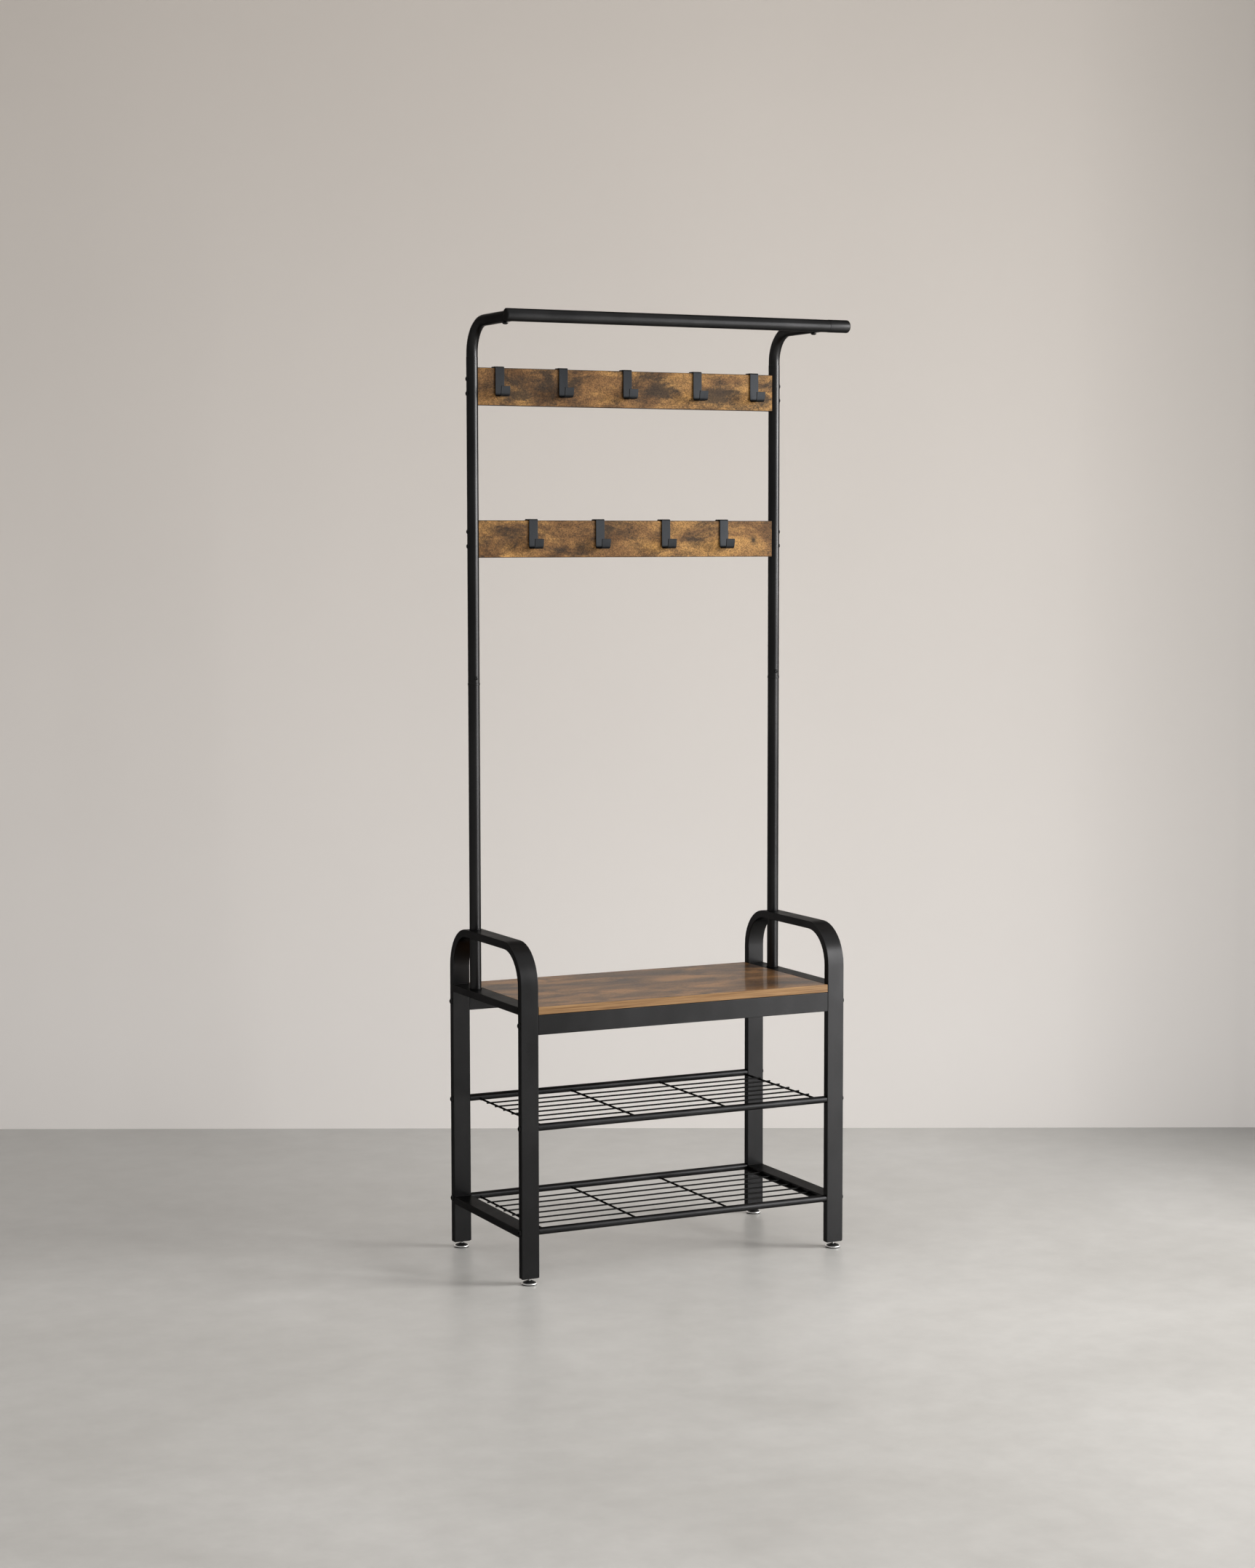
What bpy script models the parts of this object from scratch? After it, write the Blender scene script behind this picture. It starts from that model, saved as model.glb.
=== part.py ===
"""Hall tree: a bench with two wire shoe shelves under it, and posts above it that carry
two boards with sliding strap hooks and a hanging rod.

Run it with: blender --background --python part.py
Metres, +Z up, front towards -Y. The origin is on the floor, under the middle of the bounding box.
"""

import math

import bmesh
import bpy
from mathutils import Euler, Vector

# ---------------------------------------------------------------- driving dimensions
HEIGHT = 1.83  # floor to the top of the hanging rod's cap
FRAME_DEPTH = 0.345  # front of the front legs to back of the rear legs
SIDE_X = 0.330  # middle of the bench to the centre of a side frame
GAP = 0.0003  # between pieces that touch
OVERSHOOT = 0.01  # how far a cutter runs past what it cuts

# side frames
LEG_WIDTH = 0.036
LEG_DEPTH = 0.015
LEG_WALL = 0.0015
ARCH_TOP = 0.645
ARCH_RADIUS = 0.080
ARCH_STEPS = 10
FOOT_HEIGHT = 0.0115
INSERT_FLANGE = 0.001
INSERT_INSET = 0.0015  # the flange stops this far inside the leg's outline
INSERT_LENGTH = 0.022
INSERT_LAP = 0.001  # how far an insert's plug runs down into its flange

# bench
SEAT_TOP = 0.5285
SEAT_THICKNESS = 0.015
SEAT_RAIL_HEIGHT = 0.038
SIDE_RAIL_THICKNESS = 0.0145
RAIL_WALL = 0.0015
RAIL_END_PLATE = 0.003
LOWER_RAIL_TOP = 0.104

# shoe shelves
SHELF_HEIGHTS = {"upper": 0.2986, "lower": 0.1002}
SHELF_TUBE_RADIUS = 0.007
SHELF_BORE = 0.0055
SHELF_THREAD_LENGTH = 0.022
LONG_WIRE_RADIUS = 0.0016
CROSS_WIRE_RADIUS = 0.0020
LONG_WIRES = 6
LONG_WIRE_PITCH = 0.0402
LONG_WIRE_LENGTH = 0.612
CROSS_WIRES = 4
CROSS_WIRE_PITCH = 0.199
LONG_WIRES_RIGHT = 0.005  # how far right of the bench's middle the wires are centred
CROSS_WIRES_RIGHT = 0.010
WIRE_SINK = 0.0007  # how far a long wire is pressed into a cross wire at a weld

# posts
POST_Y = 0.0855
POST_RADIUS = 0.0113
POST_WALL = 0.0012
POST_JOINT_Z = 1.123
BEND_JOINT_Z = 1.7505
SPIGOT_LENGTH = 0.050
SPIGOT_RADIUS = POST_RADIUS - POST_WALL - GAP
SPIGOT_WALL = 0.0012
POST_SCREW_RISE = 0.012  # a post screw above the joint it locks
BEND_TUBE_RADIUS = 0.0110
BEND_RADIUS = 0.060
BEND_STEPS = 12

# hanging rod
ROD_Y = -0.100
ROD_RADIUS = 0.0122
ROD_BORE = 0.0108
ROD_LEFT = -0.3410  # outer faces of the caps
ROD_RIGHT = 0.3935
CAP_RADIUS = 0.0125
CAP_LENGTHS = {"left": 0.002, "right": 0.046}
CAP_ROUNDS = {"left": 0.0015, "right": 0.0045}
PLUG_LENGTH = 0.012
ROD_STUB_LENGTH = 0.045
ROD_BOLT_SET_BACK = 0.026  # a rod bolt behind the rod's axis
ROD_BOLT_LENGTH = 0.0077
BEND_DROP = 0.0015  # the top bends meet the rod this far below its axis

# hook boards
BOARD_HALF_LENGTH = 0.3225
BOARD_HEIGHT = 0.072
BOARD_THICKNESS = 0.016
BOARD_TOPS = {"upper": 1.7305, "lower": 1.4387}

# hooks: where each one stands along its board, from the middle of the bench
HOOK_PLACES = {
    "upper": (-0.2765, -0.1420, -0.0035, 0.1510, 0.2790),
    "lower": (-0.2070, -0.0635, 0.0810, 0.2110),
}
HOOK_WIDTH = 0.0185
HOOK_STRAP = 0.0022
HOOK_CLEARANCE = 0.0004
HOOK_DROP = 0.0575
HOOK_REACH = 0.0325
HOOK_LIP = 0.020
HOOK_LEAN = math.radians(8)
HOOK_BACK = 0.030
HOOK_TOP_RADIUS = 0.0018
HOOK_FOOT_RADIUS = 0.0055

# levelling feet
PAD_RADIUS = 0.015
PAD_THICKNESS = 0.0028
PAD_SOLE_INSET = 0.0006
RIM_TOP = 0.0042
RIM_WIDTH = 0.0012
RIM_LEAN = 0.0004
NUT_RADIUS = 0.0075
NUT_BASE_RADIUS = 0.0086
NUT_TOP = 0.0088
NUT_CHAMFER = 0.0016
STUD_RADIUS = 0.0035
STUD_TOP = 0.046
STUD_CHAMFER = 0.001

# bolts
BOLT_SHANK = 0.003
BOLT_HOLE = 0.0033
BOLT_HEAD_RADIUS = 0.0058
BOLT_HEAD_HEIGHT = 0.0035
BOLT_REACH = 0.018  # how far a leg bolt goes into the rail or tube behind the leg
SCREW_SHANK = 0.0015
SCREW_HOLE = 0.0018
SCREW_HEAD_RADIUS = 0.0038
SCREW_HEAD_HEIGHT = 0.0016

# how many flats stand for a round
TUBE_SIDES = 24
WIRE_SIDES = 8
BOLT_SIDES = 12
FOOT_SIDES = 16

# derived
LEG_Y = (FRAME_DEPTH - LEG_DEPTH) / 2
INNER_Y = FRAME_DEPTH / 2 - LEG_DEPTH
INNER_X = SIDE_X - LEG_WIDTH / 2
OUTER_X = SIDE_X + LEG_WIDTH / 2
LEG_BOTTOM = FOOT_HEIGHT + INSERT_FLANGE + GAP
SEAT_BOTTOM = SEAT_TOP - SEAT_THICKNESS
SEAT_RAIL_TOP = SEAT_BOTTOM - GAP
SEAT_RAIL_Z = SEAT_RAIL_TOP - SEAT_RAIL_HEIGHT / 2
LEG_BOLT_HEIGHTS = (SHELF_HEIGHTS["lower"], SHELF_HEIGHTS["upper"], SEAT_RAIL_Z)
ROD_Z = HEIGHT - CAP_RADIUS
BEND_Z = ROD_Z - BEND_DROP
POST_SCREW_Z = POST_JOINT_Z + POST_SCREW_RISE
ROD_BOLT_Y = ROD_Y + ROD_BOLT_SET_BACK
BOARD_BACK = POST_Y + BOARD_THICKNESS / 2
BOARD_FRONT = POST_Y - BOARD_THICKNESS / 2
# the rod runs past the frame on the right, so the frame stands off the bounding box's middle
FRAME_X = (OUTER_X + GAP + BOLT_HEAD_HEIGHT - ROD_RIGHT) / 2

SIDES = {"left": -1, "right": 1}
ENDS = {"front": -1, "rear": 1}

# colour, metallic, roughness
FINISHES = {
    "black_steel": ((0.022, 0.022, 0.024), 0.0, 0.42),
    "hook_steel": ((0.045, 0.047, 0.052), 0.0, 0.45),
    "board": ((0.30, 0.165, 0.075), 0.0, 0.50),
    "seat": ((0.28, 0.17, 0.10), 0.0, 0.35),
    "bolt": ((0.02, 0.02, 0.02), 0.2, 0.35),
    "black_plastic": ((0.02, 0.02, 0.02), 0.0, 0.50),
    "foot": ((0.60, 0.60, 0.62), 1.0, 0.20),
}


# ---------------------------------------------------------------- scene helpers
def clear_scene():
    for thing in list(bpy.data.objects):
        bpy.data.objects.remove(thing, do_unlink=True)


def new_collection(name):
    collection = bpy.data.collections.new(name)
    bpy.context.scene.collection.children.link(collection)
    return collection


def finish(name):
    """The Principled material of one finish, made once."""
    found = bpy.data.materials.get(name)
    if found:
        return found
    colour, metallic, roughness = FINISHES[name]
    material = bpy.data.materials.new(name)
    material.use_nodes = True
    shader = material.node_tree.nodes["Principled BSDF"]
    shader.inputs["Base Color"].default_value = (*colour, 1)
    shader.inputs["Metallic"].default_value = metallic
    shader.inputs["Roughness"].default_value = roughness
    return material


clear_scene()
PARTS = new_collection("hall_tree")
CUTTERS = new_collection("cutters")
STAND = bpy.data.objects.new("stand", None)
STAND.location = (FRAME_X, 0, 0)
PARTS.objects.link(STAND)


def add(name, data, finish_name=None, place=(0, 0, 0), turn=(0, 0, 0)):
    """Put a mesh or curve in the scene as a part, or as a cutter if it has no finish."""
    thing = bpy.data.objects.new(name, data)
    thing.parent = STAND
    thing.location = place
    thing.rotation_euler = Euler(turn)
    if finish_name:
        PARTS.objects.link(thing)
        data.materials.clear()
        data.materials.append(finish(finish_name))
    else:
        CUTTERS.objects.link(thing)
        thing.hide_render = True
        thing.display_type = "WIRE"
    return thing


def boolean(thing, operation, other):
    modifier = thing.modifiers.new(other.name, "BOOLEAN")
    modifier.operation = operation
    modifier.solver = "EXACT"
    modifier.object = other


def cut(thing, cutter):
    boolean(thing, "DIFFERENCE", cutter)


def to_mesh(thing):
    """Swap a curve object for the welded mesh of its shape."""
    bpy.context.view_layer.update()
    graph = bpy.context.evaluated_depsgraph_get()
    mesh = bpy.data.meshes.new_from_object(thing.evaluated_get(graph))
    shape = bmesh.new()
    shape.from_mesh(mesh)
    bmesh.ops.remove_doubles(shape, verts=shape.verts, dist=1e-5)
    bmesh.ops.recalc_face_normals(shape, faces=shape.faces)
    shape.to_mesh(mesh)
    shape.free()
    name = thing.name
    place = thing.location.copy()
    turn = thing.rotation_euler.copy()
    material = thing.data.materials[0].name if thing.data.materials else None
    bpy.data.objects.remove(thing, do_unlink=True)
    return add(name, mesh, material, place, turn)


def smooth(thing):
    thing.data.shade_smooth()
    thing.data.set_sharp_from_angle(angle=math.radians(35))


# ---------------------------------------------------------------- shape helpers
def box_mesh(name, *boxes):
    """A mesh of boxes, each given as its low and high corners."""
    shape = bmesh.new()
    for low, high in boxes:
        low, high = Vector(low), Vector(high)
        made = bmesh.ops.create_cube(shape, size=1)["verts"]
        for vertex in made:
            vertex.co = (low + high) / 2 + Vector(a * b for a, b in zip(vertex.co, high - low))
    mesh = bpy.data.meshes.new(name)
    shape.to_mesh(mesh)
    shape.free()
    return mesh


def cylinder_mesh(name, radius, spans, sides):
    """A mesh of cylinders of one radius, each given as its two end centres."""
    shape = bmesh.new()
    for start, end in spans:
        start, end = Vector(start), Vector(end)
        made = bmesh.ops.create_cone(
            shape,
            cap_ends=True,
            segments=sides,
            radius1=radius,
            radius2=radius,
            depth=(end - start).length,
        )["verts"]
        facing = (end - start).to_track_quat("Z", "Y").to_matrix()
        for vertex in made:
            vertex.co = facing @ vertex.co + (start + end) / 2
    mesh = bpy.data.meshes.new(name)
    shape.to_mesh(mesh)
    shape.free()
    return mesh


def turned(name, profile, sides, finish_name, place=(0, 0, 0), turn=(0, 0, 0)):
    """Turn a profile of (radius, height) points about Z. A profile runs down its outer side."""
    mesh = bpy.data.meshes.new(name)
    points = [(radius, 0, height) for radius, height in profile]
    closed = profile[0] == profile[-1]
    if closed:
        points.pop()
    edges = [(i, i + 1) for i in range(len(points) - 1)]
    if closed:
        edges.append((len(points) - 1, 0))
    mesh.from_pydata(points, edges, [])
    thing = add(name, mesh, finish_name, place, turn)
    screw = thing.modifiers.new("turn", "SCREW")
    screw.steps = sides
    screw.render_steps = sides
    screw.use_merge_vertices = True
    screw.merge_threshold = 0.00001
    screw.use_smooth_shade = True
    return thing


def tube_profile(radius, bore, low, high):
    return [(radius, high), (radius, low), (bore, low), (bore, high), (radius, high)]


def arc(centre, radius, start, end, steps):
    """Points of an arc, its angles in radians."""
    angles = [start + (end - start) * i / steps for i in range(steps + 1)]
    return [(centre[0] + radius * math.cos(a), centre[1] + radius * math.sin(a)) for a in angles]


def ribbon(path, thickness):
    """The outline of a strap of this thickness along a path."""
    left = []
    right = []
    for i, point in enumerate(path):
        before = Vector(path[max(i - 1, 0)])
        after = Vector(path[min(i + 1, len(path) - 1)])
        here = Vector(point)
        inward = (here - before).normalized() if i else (after - here).normalized()
        outward = (after - here).normalized() if i < len(path) - 1 else inward
        along = (inward + outward).normalized()
        across = Vector((-along.y, along.x)) / max(along.dot(inward), 0.5)
        left.append(tuple(here + across * thickness / 2))
        right.append(tuple(here - across * thickness / 2))
    return left + right[::-1]


def plate(name, outline, width, finish_name=None, place_x=0.0):
    """A flat outline in the YZ plane, given width along X."""
    curve = bpy.data.curves.new(name, "CURVE")
    curve.dimensions = "2D"
    curve.fill_mode = "BOTH"
    curve.extrude = width / 2
    spline = curve.splines.new("POLY")
    spline.points.add(len(outline) - 1)
    for point, (y, z) in zip(spline.points, outline):
        point.co = (y, z, 0, 1)
    spline.use_cyclic_u = True
    quarter = math.pi / 2
    return to_mesh(add(name, curve, finish_name, (place_x, 0, 0), (quarter, 0, quarter)))


def rod_along(name, points, radius, finish_name=None, place=(0, 0, 0)):
    """A round bar along a path, with filled ends, as a mesh."""
    curve = bpy.data.curves.new(name, "CURVE")
    curve.dimensions = "3D"
    curve.bevel_depth = radius
    curve.bevel_resolution = TUBE_SIDES // 4 - 1
    curve.use_fill_caps = True
    curve.resolution_u = 1
    spline = curve.splines.new("POLY")
    spline.points.add(len(points) - 1)
    for point, co in zip(spline.points, points):
        point.co = (*co, 1)
    return to_mesh(add(name, curve, finish_name, place))


def dome_profile(head_radius, head_height, shank_radius, shank_length):
    """A domed head above z = 0 on a plain shank below it, ending in a small chamfer."""
    chamfer = shank_radius / 3
    steps = 3
    dome = [(0, head_height)]
    for i in range(1, steps + 1):
        angle = math.pi / 2 * i / steps
        dome.append((head_radius * math.sin(angle), head_height * math.cos(angle)))
    shank = [
        (shank_radius, 0),
        (shank_radius, -shank_length + chamfer),
        (shank_radius - chamfer, -shank_length),
        (0, -shank_length),
    ]
    return dome + shank


# ---------------------------------------------------------------- side frames
def arch_outline(inset, bottom):
    """One side frame seen from the side: a U upside down, inset all round from its outside."""
    half = FRAME_DEPTH / 2
    outer = ARCH_RADIUS - inset
    inner = ARCH_RADIUS - LEG_DEPTH + inset
    centre_y = half - ARCH_RADIUS
    centre_z = ARCH_TOP - ARCH_RADIUS
    right, up, left = 0, math.pi / 2, math.pi
    outside = arc((centre_y, centre_z), outer, right, up, ARCH_STEPS)
    outside += arc((-centre_y, centre_z), outer, up, left, ARCH_STEPS)
    inside = arc((-centre_y, centre_z), inner, left, up, ARCH_STEPS)
    inside += arc((centre_y, centre_z), inner, up, right, ARCH_STEPS)
    outer_leg = half - inset
    inner_leg = half - LEG_DEPTH + inset
    return (
        [(outer_leg, bottom)] + outside + [(-outer_leg, bottom), (-inner_leg, bottom)] + inside
        + [(inner_leg, bottom)]
    )


def side_frame(side, sign):
    """The bent flat tube that makes two legs and a handle."""
    name = f"side_frame_{side}"
    frame = plate(name, arch_outline(0, LEG_BOTTOM), LEG_WIDTH, "black_steel", sign * SIDE_X)
    hollow = plate(
        f"hollow_{name}",
        arch_outline(LEG_WALL, LEG_BOTTOM - OVERSHOOT),
        LEG_WIDTH - 2 * LEG_WALL,
        place_x=sign * SIDE_X,
    )
    cut(frame, hollow)
    spans = [
        ((sign * (INNER_X - OVERSHOOT), y, z), (sign * (OUTER_X + OVERSHOOT), y, z))
        for y in (-LEG_Y, LEG_Y)
        for z in LEG_BOLT_HEIGHTS
    ]
    holes = add(f"holes_{name}", cylinder_mesh("bolt_holes", BOLT_HOLE, spans, BOLT_SIDES))
    cut(frame, holes)
    x = sign * SIDE_X
    through = [((x, POST_Y, ARCH_TOP - LEG_DEPTH - OVERSHOOT), (x, POST_Y, ARCH_TOP + OVERSHOOT))]
    hole = cylinder_mesh("post_hole", POST_RADIUS + GAP, through, TUBE_SIDES)
    cut(frame, add(f"post_hole_{name}", hole))


def leg_insert(name, x, y):
    """Plastic plug in the open end of a leg, bored for the foot's stud."""
    wide = LEG_WIDTH / 2
    deep = LEG_DEPTH / 2
    slack = LEG_WALL + GAP
    flange_top = FOOT_HEIGHT + INSERT_FLANGE
    corner = Vector((wide - INSERT_INSET, deep - INSERT_INSET, flange_top))
    flange = box_mesh(name, ((-corner.x, -corner.y, FOOT_HEIGHT), corner))
    insert = add(name, flange, "black_plastic", (x, y, 0))
    plug = box_mesh(
        "plug",
        (
            (-wide + slack, -deep + slack, flange_top - INSERT_LAP),
            (wide - slack, deep - slack, FOOT_HEIGHT + INSERT_LENGTH),
        ),
    )
    boolean(insert, "UNION", add(f"plug_{name}", plug, place=(x, y, 0)))
    span = [((0, 0, 0), (0, 0, FOOT_HEIGHT + INSERT_LENGTH + OVERSHOOT))]
    bore = cylinder_mesh("stud_bore", STUD_RADIUS + GAP, span, FOOT_SIDES)
    cut(insert, add(f"bore_{name}", bore, place=(x, y, 0)))


def levelling_foot(name, x, y):
    """Round pad with a metal rim, a dome nut and a threaded stud, turned in one piece."""
    profile = [
        (0, STUD_TOP),
        (STUD_RADIUS - STUD_CHAMFER, STUD_TOP),
        (STUD_RADIUS, STUD_TOP - STUD_CHAMFER),
        (STUD_RADIUS, NUT_TOP),
        (NUT_RADIUS - NUT_CHAMFER, NUT_TOP),
        (NUT_RADIUS, NUT_TOP - NUT_CHAMFER),
        (NUT_BASE_RADIUS, RIM_TOP),
        (PAD_RADIUS - RIM_WIDTH, RIM_TOP),
        (PAD_RADIUS - RIM_LEAN, PAD_THICKNESS),
        (PAD_RADIUS, PAD_THICKNESS / 2),
        (PAD_RADIUS - PAD_SOLE_INSET, 0),
        (0, 0),
    ]
    turned(name, profile, FOOT_SIDES, "foot", (x, y, 0))


def leg_bolt(name, sign, y, z):
    """Domed bolt through a leg into the rail or shelf tube behind it."""
    length = LEG_WIDTH + BOLT_REACH
    profile = dome_profile(BOLT_HEAD_RADIUS, BOLT_HEAD_HEIGHT, BOLT_SHANK, length)
    place = (sign * (OUTER_X + GAP), y, z)
    turned(name, profile, BOLT_SIDES, "bolt", place, (0, sign * math.pi / 2, 0))


# ---------------------------------------------------------------- bench
def open_tube(name, low, high, axis):
    """Rectangular tube with open ends, its walls RAIL_WALL thick."""
    rail = add(name, box_mesh(name, (low, high)), "black_steel")
    inner_low = [value + RAIL_WALL for value in low]
    inner_high = [value - RAIL_WALL for value in high]
    inner_low[axis] = low[axis] - OVERSHOOT
    inner_high[axis] = high[axis] + OVERSHOOT
    cut(rail, add(f"hollow_{name}", box_mesh("hollow", (inner_low, inner_high))))
    return rail


def side_rail(name, sign, top):
    """Flat tube welded between the two legs of a side frame."""
    end = INNER_Y - GAP
    low = (sign * SIDE_X - LEG_WIDTH / 2, -end, top - SIDE_RAIL_THICKNESS)
    high = (sign * SIDE_X + LEG_WIDTH / 2, end, top)
    open_tube(name, low, high, 1)


def seat_rail(name, sign):
    """Tube under the seat board's edge, with a tapped plate in each end."""
    end = INNER_X - GAP
    deep = LEG_DEPTH / 2
    y = sign * LEG_Y
    low = (-end, y - deep, SEAT_RAIL_TOP - SEAT_RAIL_HEIGHT)
    high = (end, y + deep, SEAT_RAIL_TOP)
    rail = add(name, box_mesh(name, (low, high)), "black_steel")
    hollow = box_mesh(
        "hollow",
        (
            (-end + RAIL_END_PLATE, low[1] + RAIL_WALL, low[2] + RAIL_WALL),
            (end - RAIL_END_PLATE, high[1] - RAIL_WALL, high[2] - RAIL_WALL),
        ),
    )
    cut(rail, add(f"hollow_{name}", hollow))
    spans = [
        ((s * (end - OVERSHOOT), y, SEAT_RAIL_Z), (s * (end + OVERSHOOT), y, SEAT_RAIL_Z))
        for s in SIDES.values()
    ]
    holes = cylinder_mesh("tapped_holes", BOLT_HOLE, spans, BOLT_SIDES)
    cut(rail, add(f"holes_{name}", holes))


def seat_board():
    half = FRAME_DEPTH / 2
    end = INNER_X - GAP
    mesh = box_mesh("seat_board", ((-end, -half, SEAT_BOTTOM), (end, half, SEAT_TOP)))
    add("seat_board", mesh, "seat")


# ---------------------------------------------------------------- shoe shelves
def shelf_tube(name, y, z):
    """Round tube whose ends are thick enough to be tapped for the leg bolts."""
    half = INNER_X - GAP
    inner = half - SHELF_THREAD_LENGTH
    profile = [
        (SHELF_TUBE_RADIUS, half),
        (SHELF_TUBE_RADIUS, -half),
        (BOLT_HOLE, -half),
        (BOLT_HOLE, -inner),
        (SHELF_BORE, -inner),
        (SHELF_BORE, inner),
        (BOLT_HOLE, inner),
        (BOLT_HOLE, half),
        (SHELF_TUBE_RADIUS, half),
    ]
    turned(name, profile, BOLT_SIDES + 4, "black_steel", (0, y, z), (0, math.pi / 2, 0))


def centred(count, pitch, middle=0.0):
    return [middle + (i - (count - 1) / 2) * pitch for i in range(count)]


def shelf_wires(name, z):
    """Long wires lying on cross wires, welded where they meet."""
    half = LONG_WIRE_LENGTH / 2
    long_z = z - LONG_WIRE_RADIUS / 2
    cross_z = long_z - LONG_WIRE_RADIUS - CROSS_WIRE_RADIUS + WIRE_SINK
    end = LEG_Y - SHELF_TUBE_RADIUS - GAP
    left, right = LONG_WIRES_RIGHT - half, LONG_WIRES_RIGHT + half
    longs = [((left, y, long_z), (right, y, long_z)) for y in centred(LONG_WIRES, LONG_WIRE_PITCH)]
    crosses = [
        ((x, -end, cross_z), (x, end, cross_z))
        for x in centred(CROSS_WIRES, CROSS_WIRE_PITCH, CROSS_WIRES_RIGHT)
    ]
    wires = add(name, cylinder_mesh(name, LONG_WIRE_RADIUS, longs, WIRE_SIDES), "black_steel")
    cross = cylinder_mesh("cross_wires", CROSS_WIRE_RADIUS, crosses, WIRE_SIDES)
    boolean(wires, "UNION", add(f"cross_{name}", cross))


# ---------------------------------------------------------------- posts
def screw_hole(name, x, z):
    """Cutter for the small screw on the front of a post."""
    front = POST_Y - POST_RADIUS
    span = [((x, front - OVERSHOOT, z), (x, front + OVERSHOOT / 2, z))]
    return add(name, cylinder_mesh("screw_hole", SCREW_HOLE, span, BOLT_SIDES))


def lower_post(side, x):
    """From the seat-height rail, up through the handle, to a spigot in the upper post."""
    bore = POST_RADIUS - POST_WALL
    spigot_bore = SPIGOT_RADIUS - SPIGOT_WALL
    bottom = SEAT_TOP + 2 * GAP
    spigot_top = POST_JOINT_Z + SPIGOT_LENGTH
    profile = [
        (SPIGOT_RADIUS, spigot_top),
        (SPIGOT_RADIUS, POST_JOINT_Z),
        (POST_RADIUS, POST_JOINT_Z),
        (POST_RADIUS, bottom),
        (bore, bottom),
        (bore, POST_JOINT_Z - POST_WALL),
        (spigot_bore, POST_JOINT_Z),
        (spigot_bore, spigot_top),
        (SPIGOT_RADIUS, spigot_top),
    ]
    post = turned(f"lower_post_{side}", profile, TUBE_SIDES, "black_steel", (x, POST_Y, 0))
    cut(post, screw_hole(f"screw_hole_lower_{side}", x, POST_SCREW_Z))


def upper_post(side, x):
    """Plain tube over the spigots of the lower post and the top bend."""
    profile = tube_profile(POST_RADIUS, POST_RADIUS - POST_WALL, POST_JOINT_Z + GAP, BEND_JOINT_Z)
    post = turned(f"upper_post_{side}", profile, TUBE_SIDES, "black_steel", (x, POST_Y, 0))
    cut(post, screw_hole(f"screw_hole_upper_{side}", x, POST_SCREW_Z))


def bend_path(x, start_z, end_y):
    """Up the post's axis, round the bend and forward to the rod."""
    centre = (POST_Y - BEND_RADIUS, BEND_Z - BEND_RADIUS)
    bend = arc(centre, BEND_RADIUS, 0, math.pi / 2, BEND_STEPS)
    return [(x, POST_Y, start_z)] + [(x, y, z) for y, z in bend] + [(x, end_y, BEND_Z)]


def top_bend(side, x):
    """Bent tube from the post to the rod, its end hollowed to fit the rod's back."""
    name = f"top_bend_{side}"
    path = bend_path(x, BEND_JOINT_Z + GAP, ROD_Y + ROD_RADIUS / 3)
    bend = rod_along(name, path, BEND_TUBE_RADIUS, "black_steel")
    low = BEND_JOINT_Z - SPIGOT_LENGTH
    spigot = [((x, POST_Y, low), (x, POST_Y, BEND_JOINT_Z + OVERSHOOT))]
    boolean(
        bend,
        "UNION",
        add(f"spigot_{name}", cylinder_mesh("spigot", SPIGOT_RADIUS, spigot, TUBE_SIDES)),
    )
    bore_path = bend_path(x, low - OVERSHOOT, ROD_Y - OVERSHOOT)
    cut(bend, rod_along(f"bore_{name}", bore_path, SPIGOT_RADIUS - SPIGOT_WALL))
    reach = BEND_TUBE_RADIUS + OVERSHOOT
    saddle = [((x - reach, ROD_Y, ROD_Z), (x + reach, ROD_Y, ROD_Z))]
    cut(bend, add(f"saddle_{name}", cylinder_mesh("saddle", ROD_RADIUS + GAP, saddle, TUBE_SIDES)))
    cut(bend, rod_bolt_hole(f"bolt_hole_{name}", x))


def rod_bolt_hole(name, x):
    span = [((x, ROD_BOLT_Y, BEND_Z - BEND_TUBE_RADIUS - OVERSHOOT), (x, ROD_BOLT_Y, BEND_Z))]
    return add(name, cylinder_mesh("rod_bolt_hole", BOLT_HOLE, span, BOLT_SIDES))


def post_screw(side, x):
    """Small domed screw that locks a post's two lengths together."""
    length = POST_WALL + GAP + SPIGOT_WALL + POST_WALL
    profile = dome_profile(SCREW_HEAD_RADIUS, SCREW_HEAD_HEIGHT, SCREW_SHANK, length)
    place = (x, POST_Y - POST_RADIUS - GAP, POST_SCREW_Z)
    turned(f"post_screw_{side}", profile, BOLT_SIDES, "bolt", place, (math.pi / 2, 0, 0))


# ---------------------------------------------------------------- hanging rod
def hanging_rod():
    """Tube with a stub at its back for each top bend to plug on to."""
    left = ROD_LEFT + CAP_LENGTHS["left"]
    right = ROD_RIGHT - CAP_LENGTHS["right"]
    rod_span = [((left, ROD_Y, ROD_Z), (right, ROD_Y, ROD_Z))]
    rod = add("hanging_rod", cylinder_mesh("rod", ROD_RADIUS, rod_span, TUBE_SIDES), "black_steel")
    stub_radius = SPIGOT_RADIUS - SPIGOT_WALL - GAP
    stubs = [
        ((sign * SIDE_X, ROD_Y, BEND_Z), (sign * SIDE_X, ROD_Y + ROD_STUB_LENGTH, BEND_Z))
        for sign in SIDES.values()
    ]
    boolean(rod, "UNION", add("rod_stubs", cylinder_mesh("stubs", stub_radius, stubs, BOLT_SIDES + 4)))
    bore = [((left - OVERSHOOT, ROD_Y, ROD_Z), (right + OVERSHOOT, ROD_Y, ROD_Z))]
    cut(rod, add("rod_bore", cylinder_mesh("bore", ROD_BORE, bore, TUBE_SIDES)))
    for side, sign in SIDES.items():
        cut(rod, rod_bolt_hole(f"bolt_hole_stub_{side}", sign * SIDE_X))


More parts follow.
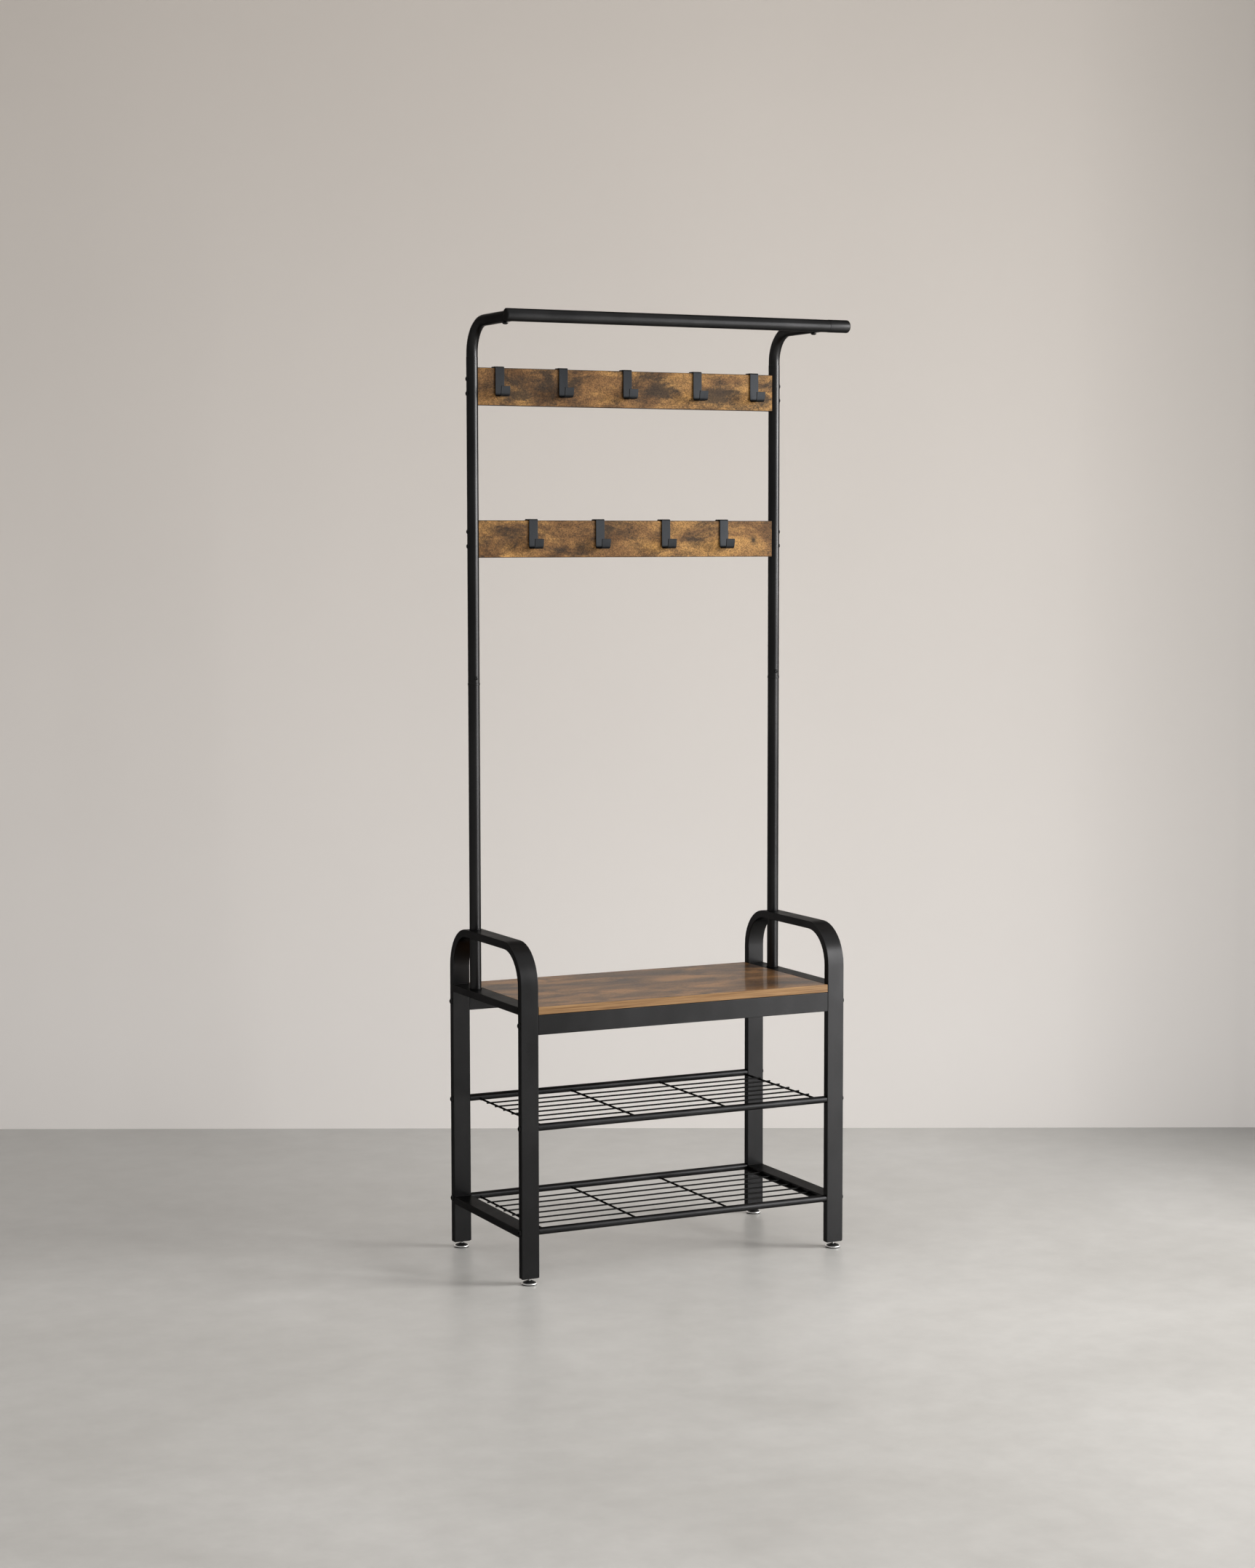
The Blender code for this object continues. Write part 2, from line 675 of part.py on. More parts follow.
def rounded_end(radius, height, corner):
    """From the axis out over an end face and round its edge."""
    steps = 3
    points = [(0, height)]
    for i in range(steps + 1):
        angle = math.pi / 2 * i / steps
        points.append(
            (radius - corner + corner * math.sin(angle), height - corner + corner * math.cos(angle))
        )
    return points


def rod_cap(side, sign, outer_face, radius):
    """End piece with rounded edges, and a plug inside the rod's bore."""
    length = CAP_LENGTHS[side] - GAP
    plug = ROD_BORE - GAP
    profile = rounded_end(radius, length, CAP_ROUNDS[side]) + [
        (radius, 0),
        (plug, 0),
        (plug, -PLUG_LENGTH),
        (0, -PLUG_LENGTH),
    ]
    place = (outer_face - sign * length, ROD_Y, ROD_Z)
    quarter = sign * math.pi / 2
    turned(f"rod_cap_{side}", profile, TUBE_SIDES, "black_plastic", place, (0, quarter, 0))


def rod_bolt(side, x):
    """Domed bolt under a top bend, up into the rod's stub."""
    profile = dome_profile(BOLT_HEAD_RADIUS, BOLT_HEAD_HEIGHT, BOLT_SHANK, ROD_BOLT_LENGTH)
    place = (x, ROD_BOLT_Y, BEND_Z - BEND_TUBE_RADIUS - GAP)
    turned(f"rod_bolt_{side}", profile, BOLT_SIDES, "bolt", place, (math.pi, 0, 0))


# ---------------------------------------------------------------- boards and hooks
def hook_board(name, top):
    """Board between the posts, each end hollowed to sit against its post."""
    low = (-BOARD_HALF_LENGTH, BOARD_FRONT, top - BOARD_HEIGHT)
    high = (BOARD_HALF_LENGTH, BOARD_BACK, top)
    board = add(name, box_mesh(name, (low, high)), "board")
    bottom = top - BOARD_HEIGHT - OVERSHOOT
    spans = [
        ((sign * SIDE_X, POST_Y, bottom), (sign * SIDE_X, POST_Y, top + OVERSHOOT))
        for sign in SIDES.values()
    ]
    posts = cylinder_mesh("post_grooves", POST_RADIUS + GAP, spans, TUBE_SIDES)
    cut(board, add(f"grooves_{name}", posts))


def hook_path(top):
    """The middle of a hook's strap: up the board's back, over its top, down its front, round and up."""
    half = HOOK_STRAP / 2
    back = BOARD_BACK + HOOK_CLEARANCE + half
    front = BOARD_FRONT - HOOK_CLEARANCE - half
    crest = top + HOOK_CLEARANCE + half
    foot = top + HOOK_CLEARANCE + HOOK_STRAP - HOOK_DROP + half
    bend = HOOK_TOP_RADIUS
    toe = HOOK_FOOT_RADIUS
    lip = front - HOOK_REACH + HOOK_STRAP + toe + HOOK_LIP * math.sin(HOOK_LEAN)
    quarter = math.pi / 2
    path = [(back, top - HOOK_BACK)]
    path += arc((back - bend, crest - bend), bend, 0, quarter, 3)
    path += arc((front + bend, crest - bend), bend, quarter, math.pi, 3)
    path += arc((front - toe, foot + toe), toe, 0, -quarter, 4)
    path += arc((lip, foot + toe), toe, -quarter, -math.pi + HOOK_LEAN, 4)
    lean = Vector((-math.sin(HOOK_LEAN), math.cos(HOOK_LEAN)))
    tip = Vector(path[-1]) + lean * (HOOK_LIP - toe - half)
    return path + [tuple(tip)]


def hook(name, top, x):
    outline = ribbon(hook_path(top), HOOK_STRAP)
    plate(name, outline, HOOK_WIDTH, "hook_steel", x)


# ---------------------------------------------------------------- the whole object
def build():
    for side, sign in SIDES.items():
        x = sign * SIDE_X
        side_frame(side, sign)
        side_rail(f"seat_side_rail_{side}", sign, SEAT_TOP)
        side_rail(f"lower_side_rail_{side}", sign, LOWER_RAIL_TOP)
        lower_post(side, x)
        upper_post(side, x)
        top_bend(side, x)
        post_screw(side, x)
        rod_bolt(side, x)
        for end, y_sign in ENDS.items():
            y = y_sign * LEG_Y
            corner = f"{end}_{side}"
            leg_insert(f"leg_insert_{corner}", x, y)
            levelling_foot(f"levelling_foot_{corner}", x, y)
            for level, z in zip(("low", "middle", "high"), LEG_BOLT_HEIGHTS):
                leg_bolt(f"leg_bolt_{corner}_{level}", sign, y, z)
    for end, y_sign in ENDS.items():
        seat_rail(f"{end}_seat_rail", y_sign)
        for shelf, z in SHELF_HEIGHTS.items():
            shelf_tube(f"{shelf}_shelf_{end}_tube", y_sign * LEG_Y, z)
    for shelf, z in SHELF_HEIGHTS.items():
        shelf_wires(f"{shelf}_shelf_wires", z)
    seat_board()
    hanging_rod()
    rod_cap("left", SIDES["left"], ROD_LEFT, ROD_RADIUS)
    rod_cap("right", SIDES["right"], ROD_RIGHT, CAP_RADIUS)
    for row, top in BOARD_TOPS.items():
        hook_board(f"{row}_hook_board", top)
        for number, x in enumerate(HOOK_PLACES[row], 1):
            hook(f"{row}_hook_{number}", top, x)
    for thing in PARTS.objects:
        if thing.type == "MESH":
            smooth(thing)


build()
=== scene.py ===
"""Looks of the hall tree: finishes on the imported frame, the small fittings that the frame
leaves plain, a plain room and a camera.

Everything is in metres in the frame's own coordinates: +X to the right, -Y to the front.
"""

import math
import bmesh
import bpy
from mathutils import Matrix, Vector

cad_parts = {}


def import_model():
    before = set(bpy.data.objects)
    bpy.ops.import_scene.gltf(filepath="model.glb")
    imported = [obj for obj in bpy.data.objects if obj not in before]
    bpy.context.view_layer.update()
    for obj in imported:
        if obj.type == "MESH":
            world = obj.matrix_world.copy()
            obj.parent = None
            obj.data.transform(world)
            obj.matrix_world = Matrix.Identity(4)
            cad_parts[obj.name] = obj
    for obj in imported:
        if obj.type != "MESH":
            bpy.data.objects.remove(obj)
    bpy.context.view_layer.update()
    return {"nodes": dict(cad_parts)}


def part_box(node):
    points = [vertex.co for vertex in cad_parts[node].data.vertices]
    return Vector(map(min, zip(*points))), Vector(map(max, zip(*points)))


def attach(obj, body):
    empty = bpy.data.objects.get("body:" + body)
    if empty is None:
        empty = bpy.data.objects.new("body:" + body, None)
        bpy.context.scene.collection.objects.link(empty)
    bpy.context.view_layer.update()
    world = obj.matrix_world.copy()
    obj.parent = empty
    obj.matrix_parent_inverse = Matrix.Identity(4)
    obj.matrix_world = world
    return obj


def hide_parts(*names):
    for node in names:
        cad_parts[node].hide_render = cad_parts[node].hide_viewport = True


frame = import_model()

NODES = frame["nodes"]
SIDES = {"left": -1, "right": 1}
ROWS = ("upper", "lower")

# ---------------------------------------------------------------- driving dimensions
CAMERA_PLACE = (-2.5454, -5.0857, 1.3959)
CAMERA_YAW = math.radians(-26.022)
CAMERA_PITCH = math.radians(-4.757)
CAMERA_ROLL = math.radians(-0.083)
CAMERA_LENS = 66.66
WALL_DISTANCE = 6.85  # ahead of the camera, measured on the floor
ROOM_REACH = 14.0  # how far the floor goes on, past the wall and to each side
WALL_HEIGHT = 5.0
FLOOR_PAINTED_SHADE = {"reach": 1.7, "tone": 0.76}  # painted shade: the floor is painted darker towards the wall
FLOOR_PAINTED_NOOKS = (  # painted shade in places by the wall, how far it reaches and where across the view
    {"reach": 1.1, "tone": 0.33, "from": 0.72, "to": 1.0},
    {"reach": 3.2, "tone": 0.83, "from": 0.45, "to": 0.15},
)
WALL_HALF_VIEW = 1.5  # half the width of wall that the camera sees
WALL_PAINT = (0.942, 0.908, 0.884)
WALL_SHADE_WARMTH = (1.12, 1.0, 0.86)  # painted shade: warms the paint's colour higher up, where it is painted darker
# painted shade across the wall, from the left of the view (0) to its right (1)
WALL_SHADE = ((0.0, 1.0), (0.33, 0.985), (0.62, 0.89), (0.83, 0.735), (0.96, 0.53))
WALL_TOP_SHADE = {"from": 0.2, "to": 2.6, "tone": 0.70}  # painted shade: the wall is painted darker upwards
WORLD_LOW = (0.215, 0.209, 0.202)
WORLD_HIGH = (0.720, 0.706, 0.690)
LIGHT_AIM_HEIGHT = 0.9

EDGE_ROUND = {"tube": 0.0014, "board": 0.0007, "hook": 0.0003, "cap": 0.0006}
SHARP = math.radians(32)  # edges that turn more than this are drawn sharp, or rounded

SHORTEST_ROUNDED = {"tube": 0.004, "hook": 0.0002}  # shorter edges stay sharp
TUBE_END = 0.001  # edges nearer than this to a tube's end stay sharp

LEG_BOLT = {"radius": 0.0058, "height": 0.0034, "shank": 0.003}
BOARD_BOLT = {"radius": 0.0046, "height": 0.0026, "shank": 0.0025}
POST_SCREW = {"radius": 0.0038, "height": 0.0016, "shank": 0.0015}
BOLT_TIP = 0.0006  # chamfer
BOARD_BOLT_LENGTH = 0.004
BOARD_BOLT_SPREAD = 0.014  # each side of the board's middle height
SINK = 0.0004  # how far a fitting is let into a post
COLLAR_HEIGHT = 0.0052
COLLAR_PROUD = 0.0005
WELD_RADIUS = 0.0010
WELD_PITCH = 0.0024
WELD_INSET = 0.0025  # from the edges of a side rail
CROSS_WIRE = {"count": 4, "pitch": 0.199, "radius": 0.0020, "inset": 0.0025}
CROSS_WIRE_WELD = 0.0009
ROUND_SEGMENTS = 48

FOOT_RADIUS = 0.0150
FOOT_SOLE_TOP = 0.0019
FOOT_RIM_TOP = 0.0042
FOOT_RIM_WIDTH = 0.0022
FOOT_DOME_TOP = 0.0082
FOOT_LAP = 0.0002  # how far the dome stands clear of the sole
STUD_RADIUS = 0.0030
STUD_PITCH = 0.0012
STUD_TIP = 0.001  # chamfer
THREAD_DEPTH = 0.00045

KNOT = {"from_end": 0.043, "below_middle": 0.003, "radius": 0.006}


# ---------------------------------------------------------------- material helpers
class Shader:
    """A material with short ways to add nodes to it."""

    def __init__(self, name):
        self.material = bpy.data.materials.new(name)
        self.material.use_nodes = True
        self.tree = self.material.node_tree
        self.surface = self.tree.nodes["Principled BSDF"]
        self.place = self.add("ShaderNodeTexCoord").outputs["Object"]

    def add(self, kind, inputs=None, **settings):
        made = self.tree.nodes.new(kind)
        for key, value in settings.items():
            setattr(made, key, value)
        for key, value in (inputs or {}).items():
            self.put(made.inputs[key], value)
        return made

    def put(self, socket, value):
        if isinstance(value, bpy.types.NodeSocket):
            self.tree.links.new(value, socket)
        elif socket.type == "RGBA" and len(value) == 3:
            socket.default_value = (*value, 1)
        else:
            socket.default_value = value

    def set(self, **values):
        for key, value in values.items():
            self.put(self.surface.inputs[key.replace("_", " ")], value)

    def stretched(self, scale, offset=(0, 0, 0)):
        mapping = self.add("ShaderNodeMapping", {"Vector": self.place})
        mapping.inputs["Scale"].default_value = scale
        mapping.inputs["Location"].default_value = offset
        return mapping.outputs["Vector"]

    def noise(self, scale, offset=(0, 0, 0), detail=2, roughness=0.5, distortion=0.0):
        """Noise whose scale is the number of lumps in a metre along each axis."""
        if not hasattr(scale, "__len__"):
            scale = (scale, scale, scale)
        inputs = {
            "Vector": self.stretched(scale, offset),
            "Scale": 1.0,
            "Detail": detail,
            "Roughness": roughness,
            "Distortion": distortion,
        }
        return self.add("ShaderNodeTexNoise", inputs).outputs["Fac"]

    def ramp(self, value, *stops):
        """Colours or greys at positions from 0 to 1."""
        made = self.add("ShaderNodeValToRGB", {"Fac": value})
        elements = made.color_ramp.elements
        while len(elements) < len(stops):
            elements.new(0.5)
        for element, (position, colour) in zip(elements, stops):
            element.position = position
            colour = colour if hasattr(colour, "__len__") else (colour,) * 3
            element.color = (*colour, 1)
        return made.outputs["Color"]

    def between(self, value, low, high, start=0.0, end=1.0):
        """Value from low to high turned into start to end, and held there outside."""
        inputs = {
            "Value": value,
            "From Min": low,
            "From Max": high,
            "To Min": start,
            "To Max": end,
        }
        return self.add("ShaderNodeMapRange", inputs, clamp=True).outputs["Result"]

    def math(self, operation, first, second=0.0):
        return self.add("ShaderNodeMath", {0: first, 1: second}, operation=operation).outputs[0]

    def mix(self, factor, first, second, blend="MIX"):
        inputs = {0: factor, 6: first, 7: second}
        made = self.add("ShaderNodeMix", inputs, data_type="RGBA", blend_type=blend)
        return made.outputs[2]

    def axis(self, letter):
        return self.add("ShaderNodeSeparateXYZ", {0: self.place}).outputs[letter]

    def bump(self, height, distance, strength=1.0):
        inputs = {"Height": height, "Distance": distance, "Strength": strength}
        self.set(Normal=self.add("ShaderNodeBump", inputs).outputs["Normal"])


def coated_steel(name, tone, roughness, edge=0.4):
    """Powder-coated steel: a slow drift of tone, a fine speckle and a faint orange peel.

    The coat is so dark that what shows is what it reflects: tone is how much it reflects
    facing the eye, and edge dims the glare at low angles.
    """
    shader = Shader(name)
    dark = tuple(c * 0.86 for c in tone)
    light = tuple(c * 1.16 for c in tone)
    drift = shader.ramp(shader.noise((9, 9, 5), detail=3), (0.35, dark), (0.65, light))
    speck = shader.between(shader.noise(1300, detail=1), 0.35, 0.75, 0.90, 1.14)
    shader.set(Base_Color=shader.mix(1.0, drift, speck, "MULTIPLY"), Metallic=1.0)
    shader.set(Specular_Tint=(edge, edge, edge))
    cloud = shader.noise((30, 30, 14), detail=4)
    shader.set(Roughness=shader.between(cloud, 0.3, 0.7, roughness - 0.03, roughness + 0.04))
    shader.bump(shader.noise(700, detail=2), 0.00004, 0.35)
    return shader.material


def moulded_plastic(name, colour, roughness):
    """Plastic or rubber with a fine moulded grain."""
    shader = Shader(name)
    drift = shader.between(shader.noise(60, detail=2), 0.3, 0.7, 0.88, 1.12)
    shader.set(Base_Color=shader.mix(1.0, colour, drift, "MULTIPLY"))
    grain = shader.noise(1800, detail=2)
    shader.set(Roughness=shader.between(grain, 0.3, 0.7, roughness - 0.05, roughness + 0.05))
    shader.bump(grain, 0.00003, 0.5)
    return shader.material


def bright_metal(name, colour, roughness):
    """Plated steel with fine turning marks round its axis."""
    shader = Shader(name)
    haze = shader.between(shader.noise(240, detail=4), 0.3, 0.7, 0.90, 1.04)
    shader.set(Base_Color=shader.mix(1.0, colour, haze, "MULTIPLY"), Metallic=1.0)
    turning = shader.noise((150, 150, 5200), detail=2)
    shader.set(Roughness=shader.between(turning, 0.3, 0.7, roughness - 0.05, roughness + 0.07))
    shader.bump(turning, 0.00001, 0.4)
    return shader.material


def rustic_laminate(name, look):
    """Printed wood: golden to brown ground, grainy smoke-dark blotches, and grain along X.

    look["across"] is the axis that lies over the grain, on which the patterns are packed.
    """
    shader = Shader(name)
    across = look["across"]

    def scale(along, over):
        return tuple(over if letter == across else along for letter in "XYZ")

    shift = look["shift"]
    ground_noise = shader.noise(scale(*look["ground_lumps"]), shift, 4, 0.55, 0.5)
    ground = shader.ramp(
        ground_noise,
        (0.36, look["deep"]),
        (0.48, look["brown"]),
        (0.63, look["golden"]),
    )
    smoke_noise = shader.noise(scale(*look["smoke_lumps"]), shift, 5, 0.6, 1.0)
    for patch in look["patches"]:
        smoke_noise = shader.math("ADD", smoke_noise, patch_field(shader, patch, look))
    grain = shader.noise(scale(*look["grain_lumps"]), shift, 4, 0.7)
    spread = shader.math("MULTIPLY", shader.math("SUBTRACT", grain, 0.5), look["grain"])
    smoky = shader.math("ADD", smoke_noise, spread)
    smoke = shader.between(smoky, look["smoke_from"], look["smoke_to"], 0.0, 0.88)
    colour = shader.mix(smoke, ground, look["smoke"])
    speck = shader.noise(scale(*look["speck_lumps"]), shift, 2, 0.6)
    mottle = shader.between(speck, 0.36, 0.64, 0.56, 1.44)
    colour = shader.mix(look["mottle"], colour, mottle, "MULTIPLY")
    fibre_noise = shader.noise(scale(12, 480), shift, 4, 0.6, 0.2)
    fibre = shader.between(fibre_noise, 0.3, 0.7, 0.74, 1.22)
    colour = shader.mix(look["fibre"], colour, fibre, "MULTIPLY")
    pore_noise = shader.noise(scale(60, 1300), shift, 2, 0.5)
    pores = shader.between(pore_noise, 0.62, 0.70, 0.0, look["pores"])
    colour = shader.mix(pores, colour, look["smoke"])
    for knot in look.get("knots", ()):
        colour = add_knot(shader, colour, knot, look["smoke"])
    if look["edges"]:
        colour = shader.mix(edge_mask(shader, look), colour, look["edge"])
    if "band" in look:
        colour = add_edge_band(shader, colour, look)
    shader.set(Base_Color=colour)
    low, high = look["roughness"]
    shader.set(Roughness=shader.between(grain, 0.35, 0.65, low, high))
    shader.set(Specular_IOR_Level=look["specular"])
    shader.set(Coat_Weight=look["coat"], Coat_Roughness=look["coat_roughness"])
    relief = shader.math("ADD", fibre_noise, shader.math("MULTIPLY", pores, -0.6))
    shader.bump(relief, 0.00008, look["relief"])
    return shader.material


def patch_field(shader, patch, look):
    """A soft oval that makes the print darker, or lighter if its strength is negative."""
    centre, reach_along, reach_over, strength = patch
    reach = [reach_over if letter == look["across"] else reach_along for letter in "XYZ"]
    away = shader.add("ShaderNodeVectorMath", {0: shader.place, 1: centre}, operation="SUBTRACT")
    scaled = shader.add(
        "ShaderNodeVectorMath",
        {0: away.outputs["Vector"], 1: tuple(1 / r for r in reach)},
        operation="MULTIPLY",
    )
    distance = shader.add(
        "ShaderNodeVectorMath", {0: scaled.outputs["Vector"]}, operation="LENGTH"
    ).outputs["Value"]
    return shader.between(distance, 0.15, 1.0, strength, 0.0)


def add_knot(shader, colour, knot, dark):
    """A small dark knot with a ragged outline and a softer ring round it."""
    centre, radius = knot
    away = shader.add(
        "ShaderNodeVectorMath", {0: shader.place, 1: centre}, operation="DISTANCE"
    ).outputs["Value"]
    ragged = shader.math("MULTIPLY", shader.noise(150, detail=5, roughness=0.7), radius * 0.9)
    distance = shader.math("ADD", away, ragged)
    core = shader.between(distance, radius * 0.8, radius * 1.5, 0.85, 0.0)
    ring = shader.between(distance, radius * 1.2, radius * 2.6, 0.45, 0.0)
    colour = shader.mix(ring, colour, dark)
    return shader.mix(core, colour, tuple(c * 0.5 for c in dark))


def edge_mask(shader, look):
    """1 on the last fraction of a millimetre before the edges that run along the grain."""
    masks = []
    for edge in look["edges"]:
        gap = shader.math("ABSOLUTE", shader.math("SUBTRACT", shader.axis(look["across"]), edge))
        masks.append(shader.between(gap, 0.0006, 0.0016, look["edge_strength"], 0.0))
    total = masks[0]
    for mask in masks[1:]:
        total = shader.math("MAXIMUM", total, mask)
    return total


def add_edge_band(shader, colour, look):
    """The paler banding glued on the front and rear edges."""
    gap = shader.math("ABSOLUTE", shader.axis("Y"))
    on_band = shader.between(gap, look["band_from"] - 0.0001, look["band_from"] + 0.0002)
    streak = shader.noise((9, 1, 700), detail=4, roughness=0.6)
    band = shader.ramp(streak, (0.36, look["band_dark"]), (0.62, look["band"]))
    return shader.mix(on_band, colour, band)


# ---------------------------------------------------------------- finishes
# Each patch: how far along the board, how far up from its middle, half length, half height,
# how dark.
BOARD_PATCHES = {
    "upper": (
        (-0.245, -0.024, 0.070, 0.022, 0.16),
        (-0.190, 0.014, 0.036, 0.022, 0.12),
        (-0.118, 0.012, 0.026, 0.040, 0.20),
        (-0.055, 0.002, 0.036, 0.060, -0.22),
        (0.040, 0.028, 0.056, 0.014, 0.30),
        (0.075, -0.002, 0.050, 0.020, 0.26),
        (0.195, -0.006, 0.060, 0.034, 0.26),
        (0.300, -0.006, 0.036, 0.040, 0.22),
    ),
    "lower": (
        (-0.230, 0.004, 0.060, 0.030, 0.10),
        (-0.150, -0.024, 0.040, 0.018, 0.16),
        (-0.130, 0.002, 0.034, 0.018, -0.08),
        (-0.045, 0.018, 0.030, 0.016, 0.16),
        (0.035, 0.014, 0.030, 0.024, -0.12),
        (0.145, -0.004, 0.026, 0.022, 0.14),
        (0.280, 0.000, 0.060, 0.060, -0.20),
    ),
}


def board_look(row):
    """Both hook boards are cut from the same print, at different places."""
    low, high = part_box(f"{row}_hook_board")
    middle = (low + high) / 2
    knot_place = (high.x - KNOT["from_end"], low.y, middle.z - KNOT["below_middle"])
    patches = [
        ((middle.x + along, low.y, middle.z + up), reach, height, strength)
        for along, up, reach, height, strength in BOARD_PATCHES[row]
    ]
    return {
        "across": "Z",
        "shift": {"upper": (0.35, 0.0, 0.10), "lower": (3.10, 0.0, 0.70)}[row],
        "deep": (0.112, 0.054, 0.019),
        "brown": (0.205, 0.103, 0.036),
        "golden": (0.400, 0.215, 0.068),
        "smoke": (0.028, 0.018, 0.011),
        "smoke_from": 0.45,
        "smoke_to": 0.72,
        "patches": patches,
        "ground_lumps": (9, 20),
        "smoke_lumps": (15, 34),
        "grain_lumps": (150, 210),
        "grain": 0.50,
        "speck_lumps": (420, 520),
        "mottle": 1.0,
        "fibre": 0.35,
        "pores": 0.2,
        "knots": [(knot_place, KNOT["radius"])] if row == "lower" else [],
        "edges": (low.z, high.z),
        "edge": (0.030, 0.021, 0.015),
        "edge_strength": 0.85,
        "roughness": (0.42, 0.52),
        "specular": 0.15,
        "coat": 0.0,
        "coat_roughness": 0.35,
        "relief": 0.6,
    }


def seat_look():
    """The seat is shinier, with a broader print and banded edges."""
    rear_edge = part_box("seat_board")[1].y
    return {
        "across": "Y",
        "shift": (1.7, 0.4, 0.0),
        "deep": (0.102, 0.048, 0.017),
        "brown": (0.180, 0.087, 0.029),
        "golden": (0.330, 0.161, 0.054),
        "smoke": (0.022, 0.013, 0.008),
        "smoke_from": 0.43,
        "smoke_to": 0.68,
        "patches": (),
        "ground_lumps": (4, 11),
        "smoke_lumps": (9, 17),
        "grain_lumps": (180, 300),
        "grain": 0.16,
        "speck_lumps": (330, 520),
        "mottle": 0.30,
        "pores": 0.4,
        "fibre": 0.50,
        "edges": (),
        "band": (0.38, 0.228, 0.108),
        "band_dark": (0.19, 0.100, 0.044),
        "band_from": rear_edge - 0.0004,
        "roughness": (0.42, 0.50),
        "specular": 0.08,
        "coat": 0.22,
        "coat_roughness": 0.10,
        "relief": 0.35,
    }


BLACK_STEEL = coated_steel("satin_black_coat", (0.036, 0.036, 0.037), 0.32)
WIRE_STEEL = coated_steel("wire_coat", (0.012, 0.012, 0.012), 0.45)
CAP_BLACK = coated_steel("cap_black", (0.034, 0.034, 0.035), 0.38)
HOOK_STEEL = coated_steel("charcoal_coat", (0.031, 0.033, 0.036), 0.44)
BOLT_STEEL = coated_steel("bolt_black", (0.030, 0.030, 0.031), 0.34)
BLACK_PLASTIC = moulded_plastic("black_plastic", (0.005, 0.005, 0.0052), 0.48)
RUBBER = moulded_plastic("foot_rubber", (0.003, 0.003, 0.003), 0.70)
CHROME = bright_metal("foot_chrome", (0.93, 0.93, 0.92), 0.38)


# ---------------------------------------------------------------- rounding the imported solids
def node_of(group, kind, inputs=None, **settings):
    """Add a node, with its inputs linked or set."""
    made = group.nodes.new(kind)
    for key, value in settings.items():
        setattr(made, key, value)
    for key, value in (inputs or {}).items():
        if isinstance(value, bpy.types.NodeSocket):
            group.links.new(value, made.inputs[key])
        else:
            made.inputs[key].default_value = value
    return made


def joining_group():
    """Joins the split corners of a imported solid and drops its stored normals."""
    group = bpy.data.node_groups.new("joining", "GeometryNodeTree")
    for way in ("INPUT", "OUTPUT"):
        group.interface.new_socket("Geometry", in_out=way, socket_type="NodeSocketGeometry")
    start = group.nodes.new("NodeGroupInput").outputs["Geometry"]
    inputs = {"Geometry": start, "Name": "custom_normal"}
    bare = node_of(group, "GeometryNodeRemoveAttribute", inputs)
    merged = node_of(
        group,
        "GeometryNodeMergeByDistance",
        {"Geometry": bare.outputs["Geometry"], "Distance": 0.00001},
    )
    end = group.nodes.new("NodeGroupOutput")
    group.links.new(merged.outputs["Geometry"], end.inputs["Geometry"])
    return group


def marking_group():
    """Smooths the rounds, keeps the sharp edges, and gives a bevel weight to those to round.

    An edge is rounded if it is convex, at least Shortest long, and the height of its middle
    along Axis is between From and To.
    """
    group = bpy.data.node_groups.new("marking", "GeometryNodeTree")
    for way in ("INPUT", "OUTPUT"):
        group.interface.new_socket("Geometry", in_out=way, socket_type="NodeSocketGeometry")
    for name in ("Shortest", "From", "To"):
        group.interface.new_socket(name, in_out="INPUT", socket_type="NodeSocketFloat")
    group.interface.new_socket("Axis", in_out="INPUT", socket_type="NodeSocketVector")
    start = group.nodes.new("NodeGroupInput").outputs
    turn = node_of(group, "GeometryNodeInputMeshEdgeAngle").outputs
    ends = node_of(group, "GeometryNodeInputMeshEdgeVertices").outputs

    def vector(operation, first, second, output):
        made = node_of(group, "ShaderNodeVectorMath", {0: first, 1: second}, operation=operation)
        return made.outputs[output]

    def test(first, operation, second):
        settings = {"data_type": "FLOAT", "operation": operation}
        made = node_of(group, "FunctionNodeCompare", {0: first, 1: second}, **settings)
        return made.outputs["Result"]

    def both(first, second):
        return node_of(group, "FunctionNodeBooleanMath", {0: first, 1: second}).outputs[0]

    length = vector("DISTANCE", ends["Position 1"], ends["Position 2"], "Value")
    doubled = vector("ADD", ends["Position 1"], ends["Position 2"], "Vector")
    along = vector("DOT_PRODUCT", doubled, start["Axis"], "Value")
    height = node_of(group, "ShaderNodeMath", {0: along, 1: 0.5}, operation="MULTIPLY").outputs[0]
    within = both(
        test(height, "GREATER_THAN", start["From"]), test(height, "LESS_THAN", start["To"])
    )
    convex = test(turn["Signed Angle"], "GREATER_THAN", SHARP)
    chosen = both(both(convex, test(length, "GREATER_THAN", start["Shortest"])), within)
    smooth = node_of(
        group,
        "GeometryNodeSetShadeSmooth",
        {"Geometry": start["Geometry"], "Shade Smooth": True},
        domain="FACE",
    )
    sharp = node_of(
        group,
        "GeometryNodeSetShadeSmooth",
        {
            "Geometry": smooth.outputs["Geometry"],
            "Selection": test(turn["Unsigned Angle"], "GREATER_THAN", SHARP),
            "Shade Smooth": False,
        },
        domain="EDGE",
    )
    weighted = node_of(
        group,
        "GeometryNodeStoreNamedAttribute",
        {
            "Geometry": sharp.outputs["Geometry"],
            "Selection": chosen,
            "Name": "bevel_weight_edge",
            "Value": 1.0,
        },
        data_type="FLOAT",
        domain="EDGE",
    )
    end = group.nodes.new("NodeGroupOutput")
    group.links.new(weighted.outputs["Geometry"], end.inputs["Geometry"])
    return group


JOINING = joining_group()
MARKING = marking_group()
FAR = 100.0  # beyond every edge


def set_input(modifier, name, value):
    """Set a geometry nodes input by its name."""
    for item in modifier.node_group.interface.items_tree:
        if item.item_type == "SOCKET" and item.in_out == "INPUT" and item.name == name:
            modifier[item.identifier] = value


